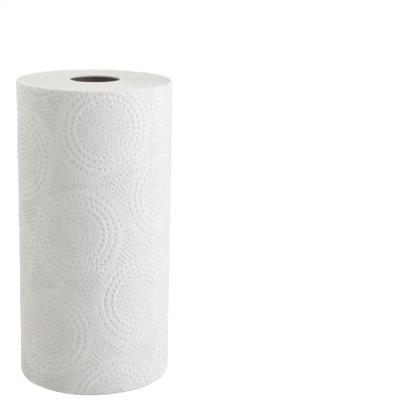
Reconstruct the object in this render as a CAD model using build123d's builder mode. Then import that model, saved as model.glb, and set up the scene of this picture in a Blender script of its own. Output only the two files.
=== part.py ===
from build123d import *
import os
from math import ceil, cos, degrees, pi, radians, sin

# A roll of paper towels: one embossed paper web, wound on a cardboard tube.
# Millimetres. The tube's axis is Z and the bottom end stands on Z = 0. The front is -Y.

# The web: a sheet's width is the roll's height, and its length lies round the roll
sheet_width = 279.4
sheet_length = 111.8
turn_thickness = 0.78

# The roll: its outer radius is that of the last half turn, which ends at the free edge
outer_radius = 70.5
free_edge_angle = 45.0

# The soft rim of both ends: a rounding made of a few flats
rim_rounding = 2.5
rim_flats = 3

# The tube: its ends lie a little inside the web's ends
tube_bore_radius = 22.45
tube_wall = 0.8
tube_inset = 0.8

# The turns on each end: each turn of the grooved spiral stands for many turns of thin paper
shown_turns = 4
groove_width = 1.8
groove_depth = 0.9
land_at_tube = 2.6
land_at_rim = 1.4

# The emboss: round medallions in slanting rows, each shown by one ring of its dots.
# The centre of one medallion lies this far back from the free edge, and this far up.
# The next one in its row, and the nearest one of the row above, lie a step away from it.
medallion_from_edge = 184.3
medallion_up = 151.0
row_step = 88.0
row_tilt = 45.1
side_step = 98.3
side_tilt = 106.0
ring_radius = 28.3
ring_dots = 14
dot_width = 3.6
dot_depth = 1.5
dot_margin = 3.0

# The perforations: a shallow score up the wall at each sheet's end
score_width = 1.0
score_depth = 0.4

# How far a cutting tool stands out of the surface that it cuts
tool_overrun = 0.5

# The wall is two half turns. The centre of each lies a quarter of a turn's thickness from the
# axis, so they meet smoothly on one side and leave one turn's thickness at the free edge.
tube_radius = tube_bore_radius + tube_wall
wound_offset = turn_thickness / 4
half_before_radius = outer_radius - turn_thickness / 2
last_half_length = pi * outer_radius
wall_length = last_half_length + pi * half_before_radius

# The upright plane through the axis and the free edge: its X points at the edge, its Y is up
edge_direction = Vector(1, 0, 0).rotate(Axis.Z, free_edge_angle)
winding_plane = Plane((0, 0, 0), x_dir=edge_direction, z_dir=edge_direction.rotate(Axis.Z, -90))


def half_turn_axis(offset, direction):
    """Return the axis of a half turn that goes back from the free edge (-1) or on from it (1)."""
    return Axis(offset * edge_direction, Vector(0, 0, direction))


def rim_outline(radius):
    """Return the corners of the soft bottom rim, from the end face to the wall."""
    turns = [radians(90 * flat / rim_flats) for flat in range(rim_flats + 1)]
    return [(radius - rim_rounding * (1 - sin(turn)), rim_rounding * (1 - cos(turn))) for turn in turns]


def wall_plane(from_edge, up):
    """Return the plane on the wall, this far back from the free edge: X is down, Y is inwards."""
    if from_edge < last_half_length:
        radius = outer_radius
        offset = wound_offset
        turned_back = degrees(from_edge / radius)
    else:
        radius = half_before_radius
        offset = -wound_offset
        turned_back = 180 + degrees((from_edge - last_half_length) / radius)
    outwards = edge_direction.rotate(Axis.Z, -turned_back)
    origin = offset * edge_direction + radius * outwards + Vector(0, 0, up)
    return Plane(origin, x_dir=(0, 0, -1), z_dir=outwards.rotate(Axis.Z, 90))


def dot_planes():
    """Return the places of the dots: rings round the centres of the medallions."""
    lowest = rim_rounding + dot_margin
    highest = sheet_width - lowest
    step = Vector(row_step, 0).rotate(Axis.Z, row_tilt)
    step_aside = Vector(side_step, 0).rotate(Axis.Z, side_tilt)
    reach = ceil((wall_length + sheet_width) / row_step)
    steps = range(-reach, reach + 1)
    start = Vector(medallion_from_edge, medallion_up)
    centres = [start + row * step + column * step_aside for row in steps for column in steps]
    spokes = [Vector(ring_radius, 0).rotate(Axis.Z, 360 * dot / ring_dots) for dot in range(ring_dots)]
    places = [centre + spoke for centre in centres for spoke in spokes]
    return [
        wall_plane(place.X, place.Y)
        for place in places
        if dot_margin < place.X < wall_length - dot_margin and lowest < place.Y < highest
    ]


os.makedirs("parts", exist_ok=True)

# The cardboard tube
with BuildPart() as core_tube:
    with BuildSketch(Plane.XY.offset(tube_inset)):
        Circle(tube_radius)
        Circle(tube_bore_radius, mode=Mode.SUBTRACT)
    extrude(amount=sheet_width - 2 * tube_inset)

# The tool for the spiral of turns on the top end: half turns of V grooves, about two centres
spiral_start = tube_radius + land_at_tube
spiral_end = outer_radius - turn_thickness - rim_rounding - land_at_rim
spiral_pitch = (spiral_end - spiral_start) / shown_turns
half_opening = (groove_width / 2) * (1 + tool_overrun / groove_depth)

with BuildPart() as spiral_tool:
    for direction in (-1, 1):
        offset = -direction * spiral_pitch / 4
        first_radius = spiral_start + (2 - direction) * spiral_pitch / 4
        with BuildSketch(winding_plane):
            for turn in range(shown_turns):
                groove_x = offset + first_radius + turn * spiral_pitch
                with BuildLine():
                    Polyline(
                        (groove_x - half_opening, sheet_width + tool_overrun),
                        (groove_x, sheet_width - groove_depth),
                        (groove_x + half_opening, sheet_width + tool_overrun),
                        close=True,
                    )
                make_face()
        revolve(axis=half_turn_axis(offset, direction), revolution_arc=180)

# The wound web: two half turns about their own centres, round the tube
dot_base = dot_width * (1 + tool_overrun / dot_depth)
score_base = score_width * (1 + tool_overrun / score_depth)
score_length = sheet_width + 2 * tool_overrun
score_count = int(wall_length // sheet_length)
scores = [wall_plane(sheet_length * (sheet + 1), sheet_width / 2) for sheet in range(score_count)]
on_the_wall = (Align.CENTER, Align.MIN, Align.CENTER)

with BuildPart() as paper_roll:
    for direction, radius in ((-1, outer_radius), (1, half_before_radius)):
        offset = -direction * wound_offset
        with BuildSketch(winding_plane):
            with BuildLine():
                bottom = [(offset + x, y) for x, y in rim_outline(radius)]
                top = [(x, sheet_width - y) for x, y in reversed(bottom)]
                Polyline((offset, 0), *bottom, *top, (offset, sheet_width), close=True)
            make_face()
        revolve(axis=half_turn_axis(offset, direction), revolution_arc=180)
    Hole(tube_radius)

    # The spiral of turns, the same way round on both ends
    add(spiral_tool.part, mode=Mode.SUBTRACT)
    add(spiral_tool.part.mirror(Plane.XY.offset(sheet_width / 2)), mode=Mode.SUBTRACT)

    # Each dot is a four-sided hollow that comes to a point
    with Locations(*dot_planes()):
        with Locations((0, -tool_overrun, 0)):
            Wedge(
                dot_base, dot_depth + tool_overrun, dot_base,
                dot_base / 2, dot_base / 2, dot_base / 2, dot_base / 2,
                align=on_the_wall, mode=Mode.SUBTRACT,
            )

    # Each score is a V groove from end to end
    with Locations(*scores):
        with Locations((0, -tool_overrun, 0)):
            Wedge(
                score_length, score_depth + tool_overrun, score_base,
                0, score_base / 2, score_length, score_base / 2,
                align=on_the_wall, mode=Mode.SUBTRACT,
            )

core_tube.part.label = "core_tube"
paper_roll.part.label = "paper_roll"

export_step(core_tube.part, "parts/core_tube.step")
export_step(paper_roll.part, "parts/paper_roll.step")
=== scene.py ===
# %% [markdown]
# A roll of paper towels on a pale floor
#
# The roll is one long web of embossed two-ply tissue, wound on a cardboard tube. The solid model
# gives its exact size and place. This script adds what makes it look like tissue: the small
# embossed dots, the edges of the turns, the soft rims, the perforations and the finishes.
# Lengths on the roll are in millimetres, and turn into metres, Blender's unit, when a mesh is
# made. The camera, the floor and the lamps are placed in metres.

# %% Load the solid model as a fixed frame
import math
import random

import bmesh
import bpy
import numpy as np
from mathutils import Matrix, Vector, kdtree
from mathutils.geometry import delaunay_2d_cdt


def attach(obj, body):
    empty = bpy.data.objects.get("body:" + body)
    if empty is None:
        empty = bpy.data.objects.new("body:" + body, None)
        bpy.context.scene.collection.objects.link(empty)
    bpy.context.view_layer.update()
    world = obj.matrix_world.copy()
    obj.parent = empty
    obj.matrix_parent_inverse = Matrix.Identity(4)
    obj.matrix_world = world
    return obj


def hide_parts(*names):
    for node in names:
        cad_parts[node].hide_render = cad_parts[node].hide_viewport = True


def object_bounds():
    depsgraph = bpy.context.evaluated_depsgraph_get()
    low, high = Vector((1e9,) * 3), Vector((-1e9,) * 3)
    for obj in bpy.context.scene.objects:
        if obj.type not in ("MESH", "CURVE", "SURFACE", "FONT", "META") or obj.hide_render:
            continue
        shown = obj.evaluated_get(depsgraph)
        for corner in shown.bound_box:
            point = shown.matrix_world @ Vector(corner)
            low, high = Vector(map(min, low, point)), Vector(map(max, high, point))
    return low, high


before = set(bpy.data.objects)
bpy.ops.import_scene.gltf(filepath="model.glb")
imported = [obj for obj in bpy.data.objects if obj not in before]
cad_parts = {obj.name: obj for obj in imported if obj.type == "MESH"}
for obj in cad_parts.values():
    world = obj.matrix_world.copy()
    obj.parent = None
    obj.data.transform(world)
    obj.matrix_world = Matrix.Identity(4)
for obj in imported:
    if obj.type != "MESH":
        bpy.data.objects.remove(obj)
solid_low, solid_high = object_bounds()
MM = 0.001
print("nodes:", sorted(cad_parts))
print("the solids' box:", tuple(solid_low), tuple(solid_high))

# %% [markdown]
# The camera
#
# The picture looks slightly down on the roll from about a metre away, so the top shows as a thin
# ellipse and the foot as a deeper curve. A camera that is aimed down makes upright lines draw
# together a little. A long distance and a small shift of the lens keep that small.

# %% Place the camera
frame_pixels = 400
focal_pixels = 1095.0
camera_distance = 1.000
camera_height = 0.418
pitch_down = math.radians(13.07)
turn_right = math.radians(5.63)
camera_roll = math.radians(1.28)
lens_shift = -0.05

camera_data = bpy.data.cameras.new("camera")
camera_data.sensor_width = 36.0
camera_data.lens = camera_data.sensor_width * focal_pixels / frame_pixels
camera_data.shift_y = lens_shift
camera = bpy.data.objects.new("camera", camera_data)
bpy.context.scene.collection.objects.link(camera)
bpy.context.scene.camera = camera
aim = Matrix.Rotation(-turn_right, 4, "Z") @ Matrix.Rotation(math.pi / 2 - pitch_down, 4, "X")
aim = aim @ Matrix.Rotation(camera_roll, 4, "Z")
camera.matrix_world = Matrix.Translation((0.0, -camera_distance, camera_height)) @ aim
print("lens:", round(camera_data.lens, 1), "mm")

# %% [markdown]
# The wall that the web is wound to
#
# A wound web isn't round: its radius grows by one turn's thickness in every turn. The solid model
# makes the last turn of two half turns with centres a little apart, which leaves a step as thick
# as one turn at the free edge. Every point of the web can be named by how far back it lies from
# that edge and how far up, as if the web lay flat. The pattern is laid out flat in these two
# lengths, and one function wraps it round the roll.

# %% Wrap a flat point round the roll
sheet_width = round((solid_high[2] - solid_low[2]) / MM, 1)
sheet_length = 111.8
turn_thickness = 0.78
outer_radius = 70.5
free_edge_angle = math.radians(45.0)
wound_offset = turn_thickness / 4
half_before_radius = outer_radius - turn_thickness / 2
last_half_length = math.pi * outer_radius
wall_length = last_half_length + math.pi * half_before_radius


def wrapped(back, up, out):
    """Return points of the wall, in mm: this far back from the free edge, up, and outwards."""
    last_half = back < last_half_length
    radius = np.where(last_half, outer_radius, half_before_radius)
    centre = np.where(last_half, wound_offset, -wound_offset)
    into_half = np.where(last_half, back, back - last_half_length)
    angle = free_edge_angle - into_half / radius - np.where(last_half, 0.0, math.pi)
    x = centre * math.cos(free_edge_angle) + (radius + out) * np.cos(angle)
    y = centre * math.sin(free_edge_angle) + (radius + out) * np.sin(angle)
    return np.stack([x, y, up + 0.0 * x], axis=-1)


print("the last turn is", round(wall_length, 1), "mm long")

# %% [markdown]
# The embossed pattern
#
# Two steel rollers press a pattern into the web before it is wound. Here it is a common one:
# round medallions of dots in rings, with three-cornered fields of fine dots between them. The
# medallions could be placed one by one. They stand in slanting rows, though, so two steps, along
# a row and over to the next row, place them all.

# %% Lay out the medallions
medallion_from_edge = 184.3
medallion_up = 151.0
row_step = 88.0
row_tilt = math.radians(45.1)
side_step = 98.3
side_tilt = math.radians(106.0)
along_row = np.array([row_step * math.cos(row_tilt), row_step * math.sin(row_tilt)])
to_next_row = np.array([side_step * math.cos(side_tilt), side_step * math.sin(side_tilt)])
first_medallion = np.array([medallion_from_edge, medallion_up])

reach = math.ceil((wall_length + sheet_width) / row_step)
steps = range(-reach, reach + 1)
medallions = [first_medallion + i * along_row + j * to_next_row for i in steps for j in steps]


def near_wall(place, margin):
    """Say whether a flat point lies on the last turn, or no more than a margin outside it."""
    on_length = -margin < place[0] < wall_length + margin
    return on_length and -margin < place[1] < sheet_width + margin


medallions = [place for place in medallions if near_wall(place, row_step)]
print(len(medallions), "medallions lie on the last turn or cross its edges")

# %% [markdown]
# The fields of fine dots
#
# Three medallions leave a three-cornered field between them, which rows of fine dots fill. Each
# dot is placed by its shares of the field's three corners, so one rule fills every field,
# whichever way it points. The sides are bowed inwards, clear of the round medallions.

# %% Fill the fields between the medallions
large_dot = 1.75
small_dot = 1.12
field_dot = 1.28
field_rows = 9
corner_reach = 0.78
field_bow = 1.4
field_lean = 4.2


def field_dots(corners, leaned_on):
    """Return the dots of one three-cornered field, as (back, up, radius) rows.

    The field's corners point between the medallions, its sides are bowed inwards, and it lies
    a little nearer to one of its three medallions than to the others."""
    middle = sum(corners) / 3
    lean = leaned_on - middle
    shift = field_lean * lean / np.linalg.norm(lean)
    tips = []
    for side in range(3):
        between = (corners[side] + corners[(side + 1) % 3]) / 2
        tips.append(middle + shift + corner_reach * (between - middle))
    dots = []
    for first in range(field_rows + 1):
        for second in range(field_rows + 1 - first):
            share = [first, second, field_rows - first - second]
            share = [part / field_rows for part in share]
            place = sum(part * tip for part, tip in zip(share, tips))
            for side in range(3):
                one, other = side, (side + 1) % 3
                inwards = middle + shift - (tips[one] + tips[other]) / 2
                inwards = inwards / np.linalg.norm(inwards)
                place = place + 4 * share[one] * share[other] * field_bow * inwards
            at_tip = max(share) == 1.0
            dots.append((place[0], place[1], large_dot if at_tip else field_dot))
    return dots


pattern = []
for place in medallions:
    below = place - to_next_row
    beside = place - along_row
    pattern += field_dots([place, below, beside], place)
    pattern += field_dots([below, beside, beside - to_next_row], beside - to_next_row)
print(len(pattern), "dots in the fields")

# %% [markdown]
# The rings of the medallions
#
# A ring is a number of dots evenly spaced round a centre: five inner rings of small dots, and
# three outer ones of large dots. Two more rings would run into the next medallions, so only
# those of their dots that have room are made. Where two dots still come too close, one is
# dropped.

# %% Add the rings of the medallions
ring_plan = [
    # radius, dots, dot radius
    (3.0, 5, small_dot),
    (7.5, 13, small_dot),
    (12.0, 21, small_dot),
    (16.2, 29, small_dot),
    (20.2, 35, small_dot),
    (24.6, 30, large_dot),
    (29.6, 36, large_dot),
    (35.4, 43, large_dot),
]
partial_rings = [(41.3, 49), (47.2, 56)]
golden_turn = math.pi * (3 - math.sqrt(5))
clear_of_fields = 5.2
clear_of_rings = 4.3
clear_of_dots = 2.45
dot_overhang = 3.0


def tree_of(places):
    """Return a search tree of flat points."""
    tree = kdtree.KDTree(len(places))
    for number, place in enumerate(places):
        tree.insert((place[0], place[1], 0.0), number)
    tree.balance()
    return tree


def ring_dots(centre, radius, count, dot):
    """Return the dots of one ring, each ring turned a little against the last."""
    turn = golden_turn * radius
    angles = [turn + 2 * math.pi * number / count for number in range(count)]
    return [
        (centre[0] + radius * math.cos(angle), centre[1] + radius * math.sin(angle), dot)
        for angle in angles
    ]


field_tree = tree_of(pattern)
for place in medallions:
    for radius, count, dot in ring_plan:
        pattern += ring_dots(place, radius, count, dot)
for radius, count in partial_rings:
    whole_tree = tree_of(pattern)
    for place in medallions:
        for spot in ring_dots(place, radius, count, large_dot):
            flat_spot = (spot[0], spot[1], 0.0)
            clear = field_tree.find(flat_spot)[2] > clear_of_fields
            if clear and whole_tree.find(flat_spot)[2] > clear_of_rings:
                pattern.append(spot)

pattern = [dot for dot in pattern if near_wall(dot, dot_overhang)]
whole_tree = tree_of(pattern)
dropped = set()
for number, dot in enumerate(pattern):
    for _, other, _ in whole_tree.find_range((dot[0], dot[1], 0.0), clear_of_dots):
        if other < number and other not in dropped:
            dropped.add(number)
dots = np.array([dot for number, dot in enumerate(pattern) if number not in dropped])
print(len(dots), "dots on the last turn,", len(dropped), "dropped for want of room")

# %% [markdown]
# The relief of the tissue
#
# Each dot is a small round pan with steep sides and a low lip round it, where the steel pin
# pushed the tissue up. A small pan is flat in its middle, and a large one has a low dome there.
# Between the dots the tissue puffs up, most of all in the bare channels, and between the large
# rings it stands in low ridges. On top of that the whole wall has soft waves, because tissue
# never lies quite flat. A bump texture could shade the dots, but it casts no shadows and leaves
# the outline smooth, so they are real heights. The heights come from the place alone, so
# neighbouring sheets agree along their edges.

# %% Work out the height of the tissue
small_dot_depth = 0.64
large_dot_depth = 0.50
pan_floor = 0.36
dome_height = 0.28
lip_height = 0.24
lip_reach = 1.5
puff_height = 0.34
puff_reach = 3.4
ridge_height = 0.34
first_ridge = 24.6
last_ridge = 41.3
ring_spacing = 5.57
ridge_fade = 2.0
loft = 0.12
wave_seed = 11
wave_count = 14
shortest_wave = 16.0
longest_wave = 70.0
wave_steepness = 0.0011

dot_tree = tree_of(dots)
medallion_tree = tree_of(medallions)


def eased(part):
    """Return a number that goes from 0 to 1 with the part, smoothly at both ends."""
    part = min(max(part, 0.0), 1.0)
    return part * part * (3 - 2 * part)


dice = random.Random(wave_seed)
waves = []
for _ in range(wave_count):
    length = dice.uniform(shortest_wave, longest_wave)
    heading = dice.uniform(0.0, math.pi)
    waves.append((length, heading, dice.uniform(0.0, 2 * math.pi), wave_steepness * length))


def soft_waves(back, up):
    """Return the height of the soft waves of the wall, in mm."""
    height = np.zeros_like(back)
    for length, heading, start, tall in waves:
        along = back * math.cos(heading) + up * math.sin(heading)
        height += tall * np.sin(2 * math.pi * along / length + start)
    return height


def ring_ridge(back, up):
    """Return the height of the low ridges between the large rings of a medallion, in mm."""
    _, _, radius = medallion_tree.find((back, up, 0.0))
    inside = eased((radius - first_ridge) / ridge_fade)
    inside *= eased((last_ridge - radius) / ridge_fade)
    between = 0.5 - 0.5 * math.cos(2 * math.pi * (radius - first_ridge) / ring_spacing)
    return ridge_height * inside * between


def dimples(back, up):
    """Return the height of the dots and of the puffed tissue between them, in mm."""
    height = np.zeros_like(back)
    for number in range(len(back)):
        _, hit, distance = dot_tree.find((back[number], up[number], 0.0))
        radius = dots[hit][2]
        share = distance / radius
        wall = eased((share - pan_floor) / (1 - pan_floor))
        lip = lip_height * wall * (1 - eased((share - 1) / (lip_reach - 1)))
        puff = puff_height * eased((distance - radius) / puff_reach)
        puff += ring_ridge(back[number], up[number])
        depth = small_dot_depth * (1 - wall)
        if radius > field_dot:
            depth = large_dot_depth * (1 - wall) - dome_height * (1 - eased(share / pan_floor))
        height[number] = loft - depth + lip + puff
    return height


print("the dots are", large_dot_depth, "to", small_dot_depth, "mm deep")

# %% [markdown]
# The sheets of the last turn
#
# The last turn is four sheets that hang together at their perforations: slits with short bonds
# between them. Each sheet is a thin closed skin with an embossed outside, a smooth inside and
# edges between them. Its outline is drawn flat first. The top and bottom edges bend inwards, as
# the cut edges of a soft roll do, and the loose end of the web stands off the roll a little.

# %% Give the sheets their edges
rim_rounding = 1.5
steepest_rim = 0.98
skin_thickness = 0.66
edge_inset = 0.7
edge_slant = 0.42
slit_length = 2.9
bond_length = 0.9
slit_half_width = 0.004
slit_parts = 6
edge_step = 0.5
score_depth = 0.006
score_reach = 0.7
last_slit_room = 0.3
tail_length = 13.0
tail_lift = 0.75
mean_tail = 0.55
tail_waves = [(0.3, 31.0, 1.0), (0.15, 9.5, 0.0)]
cut_step = 1.4
cut_waves = [(0.07, 3.1), (0.05, 1.3)]
top_wander = 0.4
foot_wander = 1.7


def rim_bend(up):
    """Return how far the rounded rims draw the wall inwards at this height, in mm."""
    beyond = np.maximum(np.maximum(rim_rounding - up, up - (sheet_width - rim_rounding)), 0.0)
    beyond = np.minimum(beyond, rim_rounding * steepest_rim)
    return rim_rounding - np.sqrt(rim_rounding**2 - beyond**2)


def tail(back, up):
    """Return how far the loose end of the web stands off the roll, in mm."""
    loose = np.clip(1 - back / tail_length, 0.0, 1.0)
    uneven = mean_tail
    for tall, length, start in tail_waves:
        uneven = uneven + tall * np.sin(up / length + start)
    return tail_lift * loose**2 * uneven


def score(back):
    """Return how far the perforations draw the tissue in, in mm."""
    depth = np.zeros_like(back)
    for line in (1, 2, 3):
        depth += score_depth * np.exp(-(((back - line * sheet_length) / score_reach) ** 2))
    return depth


def perforated_edge(back, inwards, low, high):
    """Return the points of a perforated edge, up from low to high: slits between short bonds."""
    points = []
    up = low
    step = slit_length + bond_length
    while up + step < high - last_slit_room:
        points += [(back, up + part * bond_length) for part in (0.0, 0.5, 1.0)]
        for number in range(slit_parts):
            slit_up = up + bond_length + (number + 0.5) / slit_parts * slit_length
            points.append((back + inwards * slit_half_width, slit_up))
        up += step
    count = math.ceil((high - up) / edge_step)
    points += [(back, up + (high - up) * number / count) for number in range(count + 1)]
    return points


def cut_edge(start, end, up, wander_start):
    """Return the points of the sawn top or bottom edge, which wanders a little."""
    count = int(abs(end - start) / cut_step)
    (tall, length), (low_tall, short_length) = cut_waves
    points = []
    for number in range(1, count):
        back = start + (end - start) * number / count
        wander = tall * math.sin(back / length + wander_start)
        wander += low_tall * math.sin(back / short_length)
        points.append((back, up + wander))
    return points


def sheet_outline(start, end):
    """Return the outline of a sheet, laid flat, once round."""
    low, high = edge_inset, sheet_width - edge_inset
    outline = perforated_edge(end, -1, low, high)
    outline += cut_edge(end, start, high, top_wander)
    outline += list(reversed(perforated_edge(start, 1, low, high)))
    outline += cut_edge(start, end, low, foot_wander)
    return np.array(outline)


print("a slit of the perforations is", 2 * slit_half_width, "mm wide")

# %% [markdown]
# The points of a sheet
#
# A regular grid fine enough for the dots would waste most of its points on the plain tissue
# between them. So each dot brings its own rings of points, the plain parts get loose points, and
# a few rows follow the cut edges, where the sheet bends.

# %% Choose the points inside a sheet
dot_rings = [
    # share of the dot's radius, points, turn in radians
    (0.34, 6, 0.0),
    (0.63, 9, 0.3),
    (0.84, 12, 0.0),
    (1.04, 13, 0.2),
    (1.38, 12, 0.0),
]
widest_share = dot_rings[-1][0]
plain_step = 1.9
plain_jitter = 0.3
clear_of_rim = 0.5
edge_rows = (0.5, 1.1, 1.9)
edge_row_step = 1.5
outline_margin = 0.22


def inner_points(start, end, seed):
    """Return the points inside a sheet's outline: the dots' own rings, then loose ones."""
    low, high = edge_inset + outline_margin, sheet_width - edge_inset - outline_margin
    points = []
    near = (dots[:, 0] > start - dot_overhang) & (dots[:, 0] < end + dot_overhang)
    for back, up, radius in dots[near]:
        points.append((back, up))
        for share, count, turn in dot_rings:
            for number in range(count):
                angle = turn + 2 * math.pi * number / count
                reach = share * radius
                points.append((back + reach * math.cos(angle), up + reach * math.sin(angle)))
    rng = random.Random(seed)
    across = int((end - start) / plain_step)
    upwards = int((high - low) / plain_step)
    for column in range(across + 1):
        for row in range(upwards + 1):
            back = start + (column + 0.5 * (row % 2)) * plain_step
            back += rng.uniform(-plain_jitter, plain_jitter)
            up = low + row * plain_step + rng.uniform(-plain_jitter, plain_jitter)
            _, hit, distance = dot_tree.find((back, up, 0.0))
            if distance > widest_share * dots[hit][2] + clear_of_rim:
                points.append((back, up))
    for inset in edge_rows:
        for column in range(int((end - start) / edge_row_step)):
            back = start + (column + 0.5) * edge_row_step
            points.append((back, edge_inset + inset))
            points.append((back, sheet_width - edge_inset - inset))
    points = np.array(points)
    inside = (points[:, 0] > start + outline_margin) & (points[:, 0] < end - outline_margin)
    inside &= (points[:, 1] > low) & (points[:, 1] < high)
    return points[inside]


print("each dot brings", 1 + sum(count for _, count, _ in dot_rings), "points of its own")

# %% [markdown]
# From points to a mesh
#
# Loose points need triangles between them. A Delaunay triangulation makes the most even ones,
# and it keeps the outline's edges, so the slits stay open. A mesh object then takes points and
# faces as plain lists. Its faces must all look outwards, which the sign of the closed volume
# tells.

# %% Join the points into triangles
weld_distance = 1e-5
keep_inside = 1  # the triangulation's way that leaves out what lies outside the outline


def triangulated(outline, inside):
    """Return places, triangles, and the outline as numbers of places, once round."""
    points = np.concatenate([outline, inside])
    rim = len(outline)
    edges = [(number, (number + 1) % rim) for number in range(rim)]
    flat = [Vector(point) for point in points.tolist()]
    made = delaunay_2d_cdt(flat, edges, [], keep_inside, weld_distance)
    corners, _, cells, sources, _, _ = made
    places = np.array([tuple(corner) for corner in corners])
    old_to_new = {}
    for new, olds in enumerate(sources):
        for old in olds:
            old_to_new[old] = new
    loop = [old_to_new[number] for number in range(rim)]
    faces = [tuple(cell) for cell in cells]
    return places, faces, loop


print("points closer than", weld_distance, "mm become one")

# %% Make a mesh object from points in millimetres
roll_collection = bpy.context.scene.collection


def mesh_object(name, points, faces, smooth):
    """Make a mesh object, with its normals turned outwards by the sign of its volume."""
    points = np.asarray(points) * MM
    volume = 0.0
    for face in faces:
        first = points[face[0]]
        for second, third in zip(face[1:-1], face[2:]):
            volume += np.dot(first, np.cross(points[second], points[third]))
    if volume < 0:
        faces = [tuple(reversed(face)) for face in faces]
    mesh = bpy.data.meshes.new(name)
    mesh.from_pydata(points.tolist(), [], faces)
    mesh.polygons.foreach_set("use_smooth", smooth)
    mesh.update()
    piece = bpy.data.objects.new(name, mesh)
    roll_collection.objects.link(piece)
    corners = sum(len(face) - 2 for face in faces)
    print(f"{name}: {corners} triangles")
    return piece


print("the pieces go into", roll_collection.name)

# %% [markdown]
# The four sheets
#
# The smooth inside of a sheet needs far fewer points than its outside, so it gets a coarse grid
# within the same outline, and a row of four-sided faces joins the two. At the top and at the
# bottom the inside reaches a little further than the outside, which carries the round rim on to
# the next turn.

# %% Make the four sheets
lining_step = 4.5
lining_rise = 9.0
lining_inset = 3.0
lining_far_inset = 2.0


def lie_of(back, up):
    """Return how far the tissue lies out from the wall before it is embossed, in mm."""
    return soft_waves(back, up) - rim_bend(up) + tail(back, up)


outer_pieces = []
sheet_starts = [0.0, sheet_length, 2 * sheet_length, 3 * sheet_length]
sheet_ends = sheet_starts[1:] + [wall_length]
for number, (start, end) in enumerate(zip(sheet_starts, sheet_ends)):
    outline = sheet_outline(start, end)
    flat, faces, loop = triangulated(outline, inner_points(start, end, number))
    back, up = flat[:, 0], flat[:, 1]
    outside = wrapped(back, up, lie_of(back, up) + dimples(back, up) - score(back))

    lining_grid = [
        (along, high)
        for along in np.arange(start + lining_inset, end - lining_far_inset, lining_step)
        for high in np.arange(
            edge_inset + lining_inset, sheet_width - edge_inset - lining_far_inset, lining_rise,
        )
    ]
    flat_in, faces_in, loop_in = triangulated(outline, np.array(lining_grid))
    back_in, up_in = flat_in[:, 0], flat_in[:, 1]
    slanted = np.clip(1 - np.minimum(up_in - edge_inset, sheet_width - edge_inset - up_in), 0, 1)
    slanted = edge_slant * slanted * np.sign(up_in - sheet_width / 2)
    inside = wrapped(back_in, up_in + slanted, lie_of(back_in, up_in) - skin_thickness)

    first_in = len(outside)
    all_faces = [tuple(reversed(face)) for face in faces]
    all_faces += [tuple(first_in + corner for corner in face) for face in faces_in]
    shading = [True] * len(all_faces)
    for here in range(len(loop)):
        there = (here + 1) % len(loop)
        side = (loop[here], loop[there], first_in + loop_in[there], first_in + loop_in[here])
        all_faces.append(side)
        shading.append(False)
    name = f"outer_sheet_{number + 1}"
    outer_pieces.append(mesh_object(name, np.concatenate([outside, inside]), all_faces, shading))

# %% [markdown]
# The wound turns under the last one
#
# From above, a roll shows the sawn edges of all its turns: some sixty fine lines in one spiral.
# A fine polar grid would have to be very dense to hold them. Instead the grid itself follows the
# spiral: its rows run along the turns, three rows to a turn, and after one time round they join
# on three rows further in. The first row of each turn lies low and the other two lie high, which
# draws the lines. Slow noise makes some turns stand a little proud, as on a real roll. At the
# tube the turns rise to a collar, where the lines and the noise fade out.

# %% Shape the ends of the turns
inner_turns = 60
tube_radius = 23.25
room_at_tube = 0.03
first_radius = outer_radius + wound_offset - turn_thickness
last_radius = tube_radius + room_at_tube
steepest_end = 0.985
end_drop = 0.15
line_depth = 0.22
turn_wander = 0.10
noise_steps = 4.0
noise_count = 512
noise_shift = 0.6
collar_height = 0.5
collar_width = 1.9
plain_rim = 0.8
end_wave_count = 9
shortest_end_wave = 18.0
longest_end_wave = 60.0
end_wave_height = 0.035
turn_seed = 5

dice = random.Random(turn_seed)
turn_heights = [dice.uniform(-1, 1) for _ in range(noise_count)]
end_waves = []
for _ in range(end_wave_count):
    length = dice.uniform(shortest_end_wave, longest_end_wave)
    end_waves.append((length, dice.uniform(0, 2 * math.pi), dice.uniform(0, 2 * math.pi)))


def turn_noise(turns):
    """Return a slowly changing number between -1 and 1 along the web, counted in turns."""
    at = noise_steps * turns
    low = math.floor(at)
    part = eased(at - low)
    return turn_heights[low] * (1 - part) + turn_heights[low + 1] * part


def end_height(radius, angle, turns, row, seed):
    """Return how far a point of the end lies from the flat end face, up being positive."""
    wall = outer_radius + wound_offset - turn_thickness * (turns % 1.0)
    beyond = min(max(radius - (wall - rim_rounding), 0.0), rim_rounding * steepest_end)
    height = math.sqrt(rim_rounding**2 - beyond**2) - rim_rounding
    clear_of_tube = min(1.0, (radius - last_radius) / plain_rim)
    if row == 0:
        height -= line_depth * clear_of_tube
    height += turn_wander * clear_of_tube * turn_noise(turns + noise_shift * seed)
    x, y = radius * math.cos(angle), radius * math.sin(angle)
    for length, heading, start in end_waves:
        along = x * math.cos(heading + seed) + y * math.sin(heading + seed)
        height += end_wave_height * math.sin(2 * math.pi * along / length + start)
    height -= end_drop
    collar = max(0.0, 1 - (radius - last_radius) / collar_width)
    height += collar_height * collar * (2 - collar)
    return height


print("the turns reach from", round(first_radius, 1), "to", round(last_radius, 1), "mm")

# %% Lay the rows of points along the spiral
columns = 180
rows_per_turn = 3
row_share = (0.0, 0.3, 0.72)
wound_pitch = (first_radius - last_radius) / inner_turns
rim_softness = 0.06
wobble_width = 0.05
wobbles_round = 23
wobble_shift = 1.7
hair = 0.02
lowest_edge = 0.05

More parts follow.
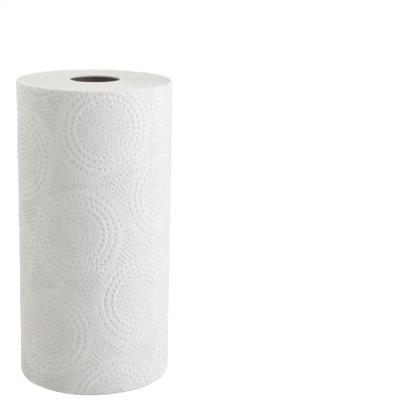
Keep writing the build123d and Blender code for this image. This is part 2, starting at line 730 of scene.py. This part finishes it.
last_row = rows_per_turn * inner_turns
points = []
numbers = {}
for column in range(columns):
    turned = column / columns
    angle = free_edge_angle - 2 * math.pi * turned
    rows = last_row + (rows_per_turn if column == 0 else 0)
    for row in range(rows + 1):
        turn, part = divmod(row, rows_per_turn)
        radius = first_radius - wound_pitch * (turn + row_share[part] + turned)
        beyond_tube = radius - last_radius
        radius = last_radius + 0.5 * (beyond_tube + math.hypot(beyond_tube, rim_softness))
        wobble = 0.0
        if 0 < row < last_row:
            wobble = wobble_width * math.sin(angle * wobbles_round + turn * wobble_shift)
        for end, seed in ((1, 0), (-1, 1)):
            turns = turn + 1 + turned
            height = end_height(radius, angle, turns, part, seed)
            up = sheet_width + height if end > 0 else max(-height, lowest_edge)
            numbers[(row, column, end)] = len(points)
            reach = radius + wobble - hair
            points.append((reach * math.cos(angle), reach * math.sin(angle), up))

print(len(points), "points on the two ends, a turn is", round(wound_pitch, 2), "mm thick")


# %% Join the rows into faces
def number_at(row, column, end):
    """Return a point's number; past the last column the rows join on one turn further in."""
    if column == columns:
        return numbers[(row + rows_per_turn, 0, end)]
    return numbers[(row, column, end)]


faces = []
for end in (1, -1):
    for column in range(columns):
        for row in range(last_row):
            corners = [(row, column), (row, column + 1), (row + 1, column + 1), (row + 1, column)]
            face = tuple(number_at(*corner, end) for corner in corners)
            faces.append(face if end > 0 else tuple(reversed(face)))
end_faces = len(faces)
for row, outwards in ((0, 1), (last_row, -1)):
    loop = [(row, column) for column in range(columns)]
    loop += [(row + step, 0) for step in range(rows_per_turn, 0, -1)]
    for here, there in zip(loop, loop[1:] + loop[:1]):
        top_here, top_there = numbers[(*here, 1)], numbers[(*there, 1)]
        low_here, low_there = numbers[(*here, -1)], numbers[(*there, -1)]
        face = (top_here, low_here, low_there, top_there)
        faces.append(face if outwards > 0 else tuple(reversed(face)))
shading = [number < end_faces for number in range(len(faces))]
wound_turns = mesh_object("wound_turns", points, faces, shading)

# %% [markdown]
# The cardboard tube
#
# Such a tube is wound from narrow strips of brown board at a slant, so its inside shows a helical
# seam. The seam could be drawn on a plain tube, but the edges of a real gap catch the light from
# every side. So the tube has a plain outer ply, which is one closed section carried round, and
# an inner ply that is wound.

# %% Make the tube's outer ply
tube_inset = 0.8
ply_joint_radius = 22.75
tube_columns = 96


def ring_loop(radius, up):
    """Return one level ring of points."""
    turns = [2 * math.pi * column / tube_columns for column in range(tube_columns)]
    return [(radius * math.cos(turn), radius * math.sin(turn), up) for turn in turns]


tube_low, tube_high = tube_inset, sheet_width - tube_inset
tube_face = tube_radius - room_at_tube
soft = 0.12
frayed = 0.03
section = [
    (tube_face, tube_low + soft),
    (tube_face, tube_high - soft),
    (tube_face - soft, tube_high),
    (ply_joint_radius + soft, tube_high + frayed),
    (ply_joint_radius, tube_high - soft),
    (ply_joint_radius, tube_low + soft),
    (ply_joint_radius + soft, tube_low - frayed),
    (tube_face - soft, tube_low),
]
points = []
for radius, up in section:
    points += ring_loop(radius, up)
faces = []
for ring in range(len(section)):
    after = (ring + 1) % len(section)
    for column in range(tube_columns):
        beside = (column + 1) % tube_columns
        faces.append((
            ring * tube_columns + column,
            ring * tube_columns + beside,
            after * tube_columns + beside,
            after * tube_columns + column,
        ))
outer_ply = mesh_object("tube_outer_ply", points, faces, [True] * len(faces))

# %% [markdown]
# The inner ply
#
# The inner ply is one long strip along a helix, with a narrow gap between its turns. A helix
# that ends level with the tube would need a strip with pointed ends. It is easier to make the
# strip too long and to cut it level, as a real tube is sawn off a longer one.

# %% Wind the inner ply
bore_radius = 22.45
strip_lead = 92.0
strip_gap = 1.1
strip_soft = 0.15
sharp_angle = math.radians(40)
strip_step = 2 * math.pi / tube_columns
helix_turns = int((sheet_width + 2 * strip_lead) / strip_lead) + 1
builder = bmesh.new()
strip_rows = []
for number in range(helix_turns * tube_columns + 1):
    turn = number * strip_step
    low = -strip_lead + strip_lead * turn / (2 * math.pi)
    strip_low = low + strip_gap / 2
    strip_high = low + strip_lead - strip_gap / 2
    corners = [
        (bore_radius, strip_low + strip_soft),
        (bore_radius, strip_high - strip_soft),
        (bore_radius + soft, strip_high),
        (ply_joint_radius - hair, strip_high),
        (ply_joint_radius - hair, strip_low),
        (bore_radius + soft, strip_low),
    ]
    strip_rows.append([
        builder.verts.new((radius * math.cos(turn) * MM, radius * math.sin(turn) * MM, up * MM))
        for radius, up in corners
    ])
for here, there in zip(strip_rows, strip_rows[1:]):
    for side in range(len(here)):
        after = (side + 1) % len(here)
        builder.faces.new((here[side], here[after], there[after], there[side]))
builder.faces.new(strip_rows[0])
builder.faces.new(list(reversed(strip_rows[-1])))
for level, direction in ((tube_low, -1), (tube_high, 1)):
    everything = builder.verts[:] + builder.edges[:] + builder.faces[:]
    cut = bmesh.ops.bisect_plane(
        builder, geom=everything, plane_co=(0, 0, level * MM), plane_no=(0, 0, direction),
        clear_outer=True,
    )
    rim = [item for item in cut["geom_cut"] if isinstance(item, bmesh.types.BMEdge)]
    bmesh.ops.holes_fill(builder, edges=rim, sides=0)
bmesh.ops.recalc_face_normals(builder, faces=builder.faces[:])
mesh = bpy.data.meshes.new("tube_inner_ply")
builder.to_mesh(mesh)
builder.free()
mesh.polygons.foreach_set("use_smooth", [True] * len(mesh.polygons))
mesh.set_sharp_from_angle(angle=sharp_angle)
inner_ply = bpy.data.objects.new("tube_inner_ply", mesh)
roll_collection.objects.link(inner_ply)
print("tube_inner_ply:", len(mesh.polygons), "faces")

# %% [markdown]
# What stands for what
#
# Every piece rides on the one body of the model. The sheets and the wound turns stand for the
# solid roll, and the two plies for the solid tube. The two solids are hidden from the picture and
# stay as they are in the physics model.

# %% Tie the pieces to the frame
paper_pieces = outer_pieces + [wound_turns]
board_pieces = [outer_ply, inner_ply]
for piece in paper_pieces:
    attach(piece, "root")
    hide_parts("paper_roll")
for piece in board_pieces:
    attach(piece, "root")
    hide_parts("core_tube")
print(len(paper_pieces) + len(board_pieces), "pieces in all")

# %% [markdown]
# Finishes
#
# Tissue is matt and nearly white. Up close it is a felt of fine fibres with small upright crepe
# wrinkles, and its tone is never quite even. A photo of paper could be laid on as a texture, but
# it would show its repeats round the roll. So noise makes both effects: a felt of fibres, and a
# slow change of tone. Each is a node group with named inputs, so tissue and board use the same
# group at their own scale and strength.

# %% Helpers for node trees
def add_node(tree, kind, **settings):
    """Add a node to a tree and set what is given by name."""
    node = tree.nodes.new(kind)
    for name, value in settings.items():
        setattr(node, name, value)
    return node


def new_group(name, numbers_in, outputs):
    """Make a node group with a vector input, number inputs and outputs."""
    group = bpy.data.node_groups.new(name, "ShaderNodeTree")
    group.interface.new_socket("Coordinates", in_out="INPUT", socket_type="NodeSocketVector")
    for label, value in numbers_in:
        socket = group.interface.new_socket(label, in_out="INPUT", socket_type="NodeSocketFloat")
        socket.default_value = value
    for label in outputs:
        group.interface.new_socket(label, in_out="OUTPUT", socket_type="NodeSocketFloat")
    start = add_node(group, "NodeGroupInput")
    finish = add_node(group, "NodeGroupOutput")
    return group, start, finish


def link(source, output, target, value):
    """Join an output of one node to an input of another one in the same tree."""
    source.id_data.links.new(source.outputs[output], target.inputs[value])


print("ready to make, group and link nodes")

# %% [markdown]
# The felt of fibres
#
# Fibres are far too fine to model. A fine noise, drawn out upwards, stands for single fibres and
# crepe wrinkles, and a coarser noise for clumps of fibres. The blend of both gives the height,
# and the clumps alone give the tone.

# %% A felt of fibres
clump_scale = 0.30
fibre_group, start, finish = new_group(
    "felt of fibres",
    [("Fibres per Metre", 1400.0), ("Stretch", 0.35), ("Fluff", 0.5)],
    ["Height", "Tone"],
)
squash = add_node(fibre_group, "ShaderNodeCombineXYZ")
squash.inputs["X"].default_value = 1.0
squash.inputs["Y"].default_value = 1.0
link(start, "Stretch", squash, "Z")
stretched = add_node(fibre_group, "ShaderNodeVectorMath", operation="MULTIPLY")
link(start, "Coordinates", stretched, 0)
link(squash, "Vector", stretched, 1)
felt = add_node(fibre_group, "ShaderNodeTexNoise", noise_dimensions="3D")
felt.inputs["Detail"].default_value = 3.0
felt.inputs["Roughness"].default_value = 0.6
link(stretched, "Vector", felt, "Vector")
link(start, "Fibres per Metre", felt, "Scale")
clumps = add_node(fibre_group, "ShaderNodeTexNoise", noise_dimensions="3D")
clumps.inputs["Detail"].default_value = 2.0
coarser = add_node(fibre_group, "ShaderNodeMath", operation="MULTIPLY")
coarser.inputs[1].default_value = clump_scale
link(start, "Fibres per Metre", coarser, 0)
link(coarser, "Value", clumps, "Scale")
link(start, "Coordinates", clumps, "Vector")
blend = add_node(fibre_group, "ShaderNodeMix", data_type="FLOAT")
link(start, "Fluff", blend, "Factor")
link(felt, "Fac", blend, "A")
link(clumps, "Fac", blend, "B")
link(blend, "Result", finish, "Height")
link(clumps, "Fac", finish, "Tone")
print(fibre_group.name, "has", len(fibre_group.nodes), "nodes")

# %% [markdown]
# The slow change of tone
#
# Paper takes up its whiteness unevenly, in patches some centimetres wide. One wide noise makes
# them. Its middle values are stretched to the wanted range, because noise seldom comes near 0
# or 1.

# %% A slow change of tone
tone_group, start, finish = new_group(
    "uneven tone",
    [("Patches per Metre", 22.0), ("Low", 0.0), ("High", 1.0)],
    ["Tone"],
)
patches = add_node(tone_group, "ShaderNodeTexNoise", noise_dimensions="3D")
patches.inputs["Detail"].default_value = 4.0
patches.inputs["Roughness"].default_value = 0.55
link(start, "Coordinates", patches, "Vector")
link(start, "Patches per Metre", patches, "Scale")
spread = add_node(tone_group, "ShaderNodeMapRange")
spread.inputs["From Min"].default_value = 0.3
spread.inputs["From Max"].default_value = 0.7
link(patches, "Fac", spread, "Value")
link(start, "Low", spread, "To Min")
link(start, "High", spread, "To Max")
link(spread, "Result", finish, "Tone")
print(tone_group.name, "has", len(tone_group.nodes), "nodes")

# %% [markdown]
# The ring round the tube
#
# A painted highlight: near the tube the ends of the first turns are coloured whiter than the sawn
# ends outside them. A mask that knows its distance from the axis can whiten just these. It could be
# painted on the mesh, but worked out from the place it fits any mesh round the axis.

# %% A ring round the tube
ring_group, start, finish = new_group(
    "ring round the axis", [("Inner Radius", 0.02), ("Outer Radius", 0.03)], ["Mask"],
)
flat_place = add_node(ring_group, "ShaderNodeVectorMath", operation="MULTIPLY")
flat_place.inputs[1].default_value = (1.0, 1.0, 0.0)
link(start, "Coordinates", flat_place, 0)
from_axis = add_node(ring_group, "ShaderNodeVectorMath", operation="LENGTH")
link(flat_place, "Vector", from_axis, 0)
fade = add_node(ring_group, "ShaderNodeMapRange", interpolation_type="SMOOTHSTEP")
link(from_axis, "Value", fade, "Value")
link(start, "Inner Radius", fade, "From Min")
link(start, "Outer Radius", fade, "From Max")
fade.inputs["To Min"].default_value = 1.0
fade.inputs["To Max"].default_value = 0.0
link(fade, "Result", finish, "Mask")
print(ring_group.name, "has", len(ring_group.nodes), "nodes")

# %% [markdown]
# Three finishes from one recipe
#
# The embossed tissue, the sawn ends and the board are all matt, felted and uneven. They differ
# in colour, in the size of their fibres and in how rough they are. So one function holds the
# recipe, and each finish is one call of it.

# %% Mix a finish
fibre_share = 0.6
patch_share = 0.5
roughness_spread = 0.05
bump_distance = 0.0011
sheen_roughness = 0.6
matt_shine = 0.25


def finish_of(name, light, dark, fibres, stretch, fluff, patches, roughness, bump, sheen):
    """Make a material: two close tones mixed by patches and fibres, and a felted surface."""
    material = bpy.data.materials.new(name)
    material.use_nodes = True
    tree = material.node_tree
    shader = tree.nodes["Principled BSDF"]
    place = add_node(tree, "ShaderNodeTexCoord")
    fibre = add_node(tree, "ShaderNodeGroup", node_tree=fibre_group)
    fibre.inputs["Fibres per Metre"].default_value = fibres
    fibre.inputs["Stretch"].default_value = stretch
    fibre.inputs["Fluff"].default_value = fluff
    tone = add_node(tree, "ShaderNodeGroup", node_tree=tone_group)
    tone.inputs["Patches per Metre"].default_value = patches
    for group_node in (fibre, tone):
        link(place, "Object", group_node, "Coordinates")
    both = add_node(tree, "ShaderNodeMath", operation="MULTIPLY_ADD")
    both.inputs[1].default_value = fibre_share
    link(fibre, "Tone", both, 0)
    weaker = add_node(tree, "ShaderNodeMath", operation="MULTIPLY")
    weaker.inputs[1].default_value = patch_share
    link(tone, "Tone", weaker, 0)
    link(weaker, "Value", both, 2)
    colour = add_node(tree, "ShaderNodeMix", data_type="RGBA")
    colour.inputs["A"].default_value = (*light, 1.0)
    colour.inputs["B"].default_value = (*dark, 1.0)
    link(both, "Value", colour, "Factor")
    link(colour, "Result", shader, "Base Color")
    rough = add_node(tree, "ShaderNodeMapRange")
    rough.inputs["To Min"].default_value = roughness - roughness_spread
    rough.inputs["To Max"].default_value = min(1.0, roughness + roughness_spread)
    link(fibre, "Height", rough, "Value")
    link(rough, "Result", shader, "Roughness")
    relief = add_node(tree, "ShaderNodeBump")
    relief.inputs["Strength"].default_value = bump
    relief.inputs["Distance"].default_value = bump_distance
    link(fibre, "Height", relief, "Height")
    link(relief, "Normal", shader, "Normal")
    shader.inputs["Sheen Weight"].default_value = sheen
    shader.inputs["Sheen Roughness"].default_value = sheen_roughness
    shader.inputs["Specular IOR Level"].default_value = matt_shine
    return material


print("the bump is", 1000 * bump_distance, "mm high at full strength")

# %% Put the finishes on the pieces
tissue = finish_of(
    "embossed tissue", light=(0.93, 0.93, 0.925), dark=(0.88, 0.88, 0.875), fibres=1500.0,
    stretch=0.4, fluff=0.6, patches=26.0, roughness=0.9, bump=0.9, sheen=0.1,
)
# The sawn ends are a little darker and warmer than the tissue: partly the tissue's own colour,
# partly painted shade for the gaps between the turns.
sawn_tissue = finish_of(
    "sawn edges of tissue", light=(0.91, 0.913, 0.885), dark=(0.85, 0.853, 0.825), fibres=2200.0,
    stretch=1.0, fluff=0.3, patches=34.0, roughness=0.93, bump=0.6, sheen=0.1,
)
board = finish_of(
    "grey-brown tube board", light=(0.20, 0.152, 0.118), dark=(0.105, 0.08, 0.061), fibres=1100.0,
    stretch=0.6, fluff=0.35, patches=40.0, roughness=0.85, bump=0.4, sheen=0.0,
)
for piece in outer_pieces:
    piece.data.materials.append(tissue)
wound_turns.data.materials.append(sawn_tissue)
for piece in board_pieces:
    piece.data.materials.append(board)
print("finishes:", tissue.name, "/", sawn_tissue.name, "/", board.name)

# %% Paint a highlight on the first turns
# Painted highlight: the sawn ends next to the tube are mixed towards near white.
painted_highlight_colour = (0.97, 0.97, 0.97, 1.0)
highlight_inner_width = 1.3
highlight_outer_width = 2.4
tree = sawn_tissue.node_tree
shader = tree.nodes["Principled BSDF"]
worn_colour = shader.inputs["Base Color"].links[0].from_socket
place = add_node(tree, "ShaderNodeTexCoord")
ring = add_node(tree, "ShaderNodeGroup", node_tree=ring_group)
ring.inputs["Inner Radius"].default_value = (tube_radius + highlight_inner_width) * MM
ring.inputs["Outer Radius"].default_value = (tube_radius + highlight_outer_width) * MM
link(place, "Object", ring, "Coordinates")
whiter = add_node(tree, "ShaderNodeMix", data_type="RGBA")
whiter.inputs["B"].default_value = painted_highlight_colour
link(ring, "Mask", whiter, "Factor")
tree.links.new(worn_colour, whiter.inputs["A"])
link(whiter, "Result", shader, "Base Color")
print("whitened to", highlight_outer_width, "mm from the tube")

# %% [markdown]
# The floor
#
# The roll stands on a pale floor in a white studio. A white floor that is only lit never comes
# out as white as the background, and more light would bleach the tissue. So the rays that show
# the floor, such as the camera's, see some cool light added to its paint. It comes out white
# and still holds the roll's shadow, and the added light doesn't fall on the roll.

# %% Lay the floor
floor_reach = 12.0
floor_drop = 0.0002
floor_mesh = bpy.data.meshes.new("floor")
corner_signs = [(-1, -1), (1, -1), (1, 1), (-1, 1)]
floor_corners = [(floor_reach * x, floor_reach * y, -floor_drop) for x, y in corner_signs]
floor_mesh.from_pydata(floor_corners, [], [(0, 1, 2, 3)])
floor = bpy.data.objects.new("floor", floor_mesh)
bpy.context.scene.collection.objects.link(floor)
print("the floor lies", round(1000 * floor_drop, 1), "mm under the roll")


# %% Paint the floor
def seen_rays(tree):
    """Return a socket that is 1 for the rays that show the background: camera, gloss and glass."""
    path = add_node(tree, "ShaderNodeLightPath")
    first = add_node(tree, "ShaderNodeMath", operation="MAXIMUM")
    link(path, "Is Camera Ray", first, 0)
    link(path, "Is Glossy Ray", first, 1)
    both = add_node(tree, "ShaderNodeMath", operation="MAXIMUM")
    link(first, "Value", both, 0)
    link(path, "Is Transmission Ray", both, 1)
    return both.outputs["Value"]


floor_glow = 0.50
glow_colour = (0.92, 0.94, 1.0, 1.0)
floor_colour = (0.92, 0.92, 0.91, 1.0)
floor_paint = bpy.data.materials.new("pale floor")
floor_paint.use_nodes = True
tree = floor_paint.node_tree
tree.nodes.clear()
paint = add_node(tree, "ShaderNodeBsdfDiffuse")
paint.inputs["Color"].default_value = floor_colour
glow = add_node(tree, "ShaderNodeEmission")
glow.inputs["Color"].default_value = glow_colour
glow.inputs["Strength"].default_value = floor_glow
together = add_node(tree, "ShaderNodeAddShader")
link(paint, "BSDF", together, 0)
link(glow, "Emission", together, 1)
choice = add_node(tree, "ShaderNodeMixShader")
tree.links.new(seen_rays(tree), choice.inputs["Fac"])
link(paint, "BSDF", choice, 1)
link(together, "Shader", choice, 2)
result = add_node(tree, "ShaderNodeOutputMaterial")
link(choice, "Shader", result, "Surface")
floor_mesh.materials.append(floor_paint)
print("floor:", floor_paint.name)

# %% [markdown]
# The light
#
# Tissue shows its dots only in light that grazes it. A broad cool lamp stands low at the right
# and models them, and a second one, nearly overhead and a little behind, lights the top end.
# Three softboxes are near the roll and set high, so the wall gets less of their light towards
# the foot: a warm one at the left, and cool ones at the front and at the right. A weak warm
# room fills the shadows, and only the rays that show the background see it as plain white.

# %% Light the room
room_colour = (1.0, 0.95, 0.68, 1.0)
room_strength = 0.165
world = bpy.data.worlds.new("white studio")
bpy.context.scene.world = world
world.use_nodes = True
tree = world.node_tree
tree.nodes.clear()
room = add_node(tree, "ShaderNodeBackground")
room.inputs["Color"].default_value = room_colour
room.inputs["Strength"].default_value = room_strength
white = add_node(tree, "ShaderNodeBackground")
white.inputs["Strength"].default_value = 1.0
choice = add_node(tree, "ShaderNodeMixShader")
tree.links.new(seen_rays(tree), choice.inputs["Fac"])
link(room, "Background", choice, 1)
link(white, "Background", choice, 2)
result = add_node(tree, "ShaderNodeOutputWorld")
link(choice, "Shader", result, "Surface")
print("world:", world.name)


# %% Hang the lamps
def soft_sun(name, round_from_front, above, strength, colour, spread):
    """Add a broad, far lamp. Its direction is given from the front to the right, and upwards."""
    lamp = bpy.data.lights.new(name, "SUN")
    lamp.energy = strength * math.pi
    lamp.color = colour
    lamp.angle = math.radians(spread)
    holder = bpy.data.objects.new(name, lamp)
    side, height = math.radians(round_from_front), math.radians(above)
    towards = Vector((
        math.sin(side) * math.cos(height), -math.cos(side) * math.cos(height), math.sin(height),
    ))
    holder.rotation_mode = "QUATERNION"
    holder.rotation_quaternion = towards.to_track_quat("Z", "Y")
    bpy.context.scene.collection.objects.link(holder)
    return holder


def softbox(name, place, aimed_at, size, power, colour):
    """Add a round softbox near the roll. Its light falls off with distance."""
    lamp = bpy.data.lights.new(name, "AREA")
    lamp.shape = "DISK"
    lamp.size = size
    lamp.energy = power
    lamp.color = colour
    holder = bpy.data.objects.new(name, lamp)
    holder.location = place
    holder.rotation_mode = "QUATERNION"
    holder.rotation_quaternion = (Vector(place) - Vector(aimed_at)).to_track_quat("Z", "Y")
    bpy.context.scene.collection.objects.link(holder)
    return holder


aimed_share = 0.8
high_up = (0.0, 0.0, aimed_share * sheet_width * MM)
box_size = 0.4
lamps = [
    soft_sun("key from the right", 74, 6, 0.645, (0.925, 0.92, 1.0), 45),
    soft_sun("light from behind", 180, 80, 0.35, (0.96, 0.97, 1.0), 40),
    softbox("softbox at the left", (-0.57, 0.13, 0.55), high_up, box_size, 1.85, (1.0, 0.97, 0.915)),
    softbox("softbox at the front", (0.20, -0.50, 0.75), high_up, box_size, 1.35, (0.92, 0.95, 1.0)),
    softbox("softbox at the right", (0.65, -0.35, 0.50), high_up, box_size, 0.55, (0.71, 0.70, 1.0)),
]
bpy.context.scene.view_settings.view_transform = "Standard"
print("lamps:", ", ".join(lamp.name for lamp in lamps))
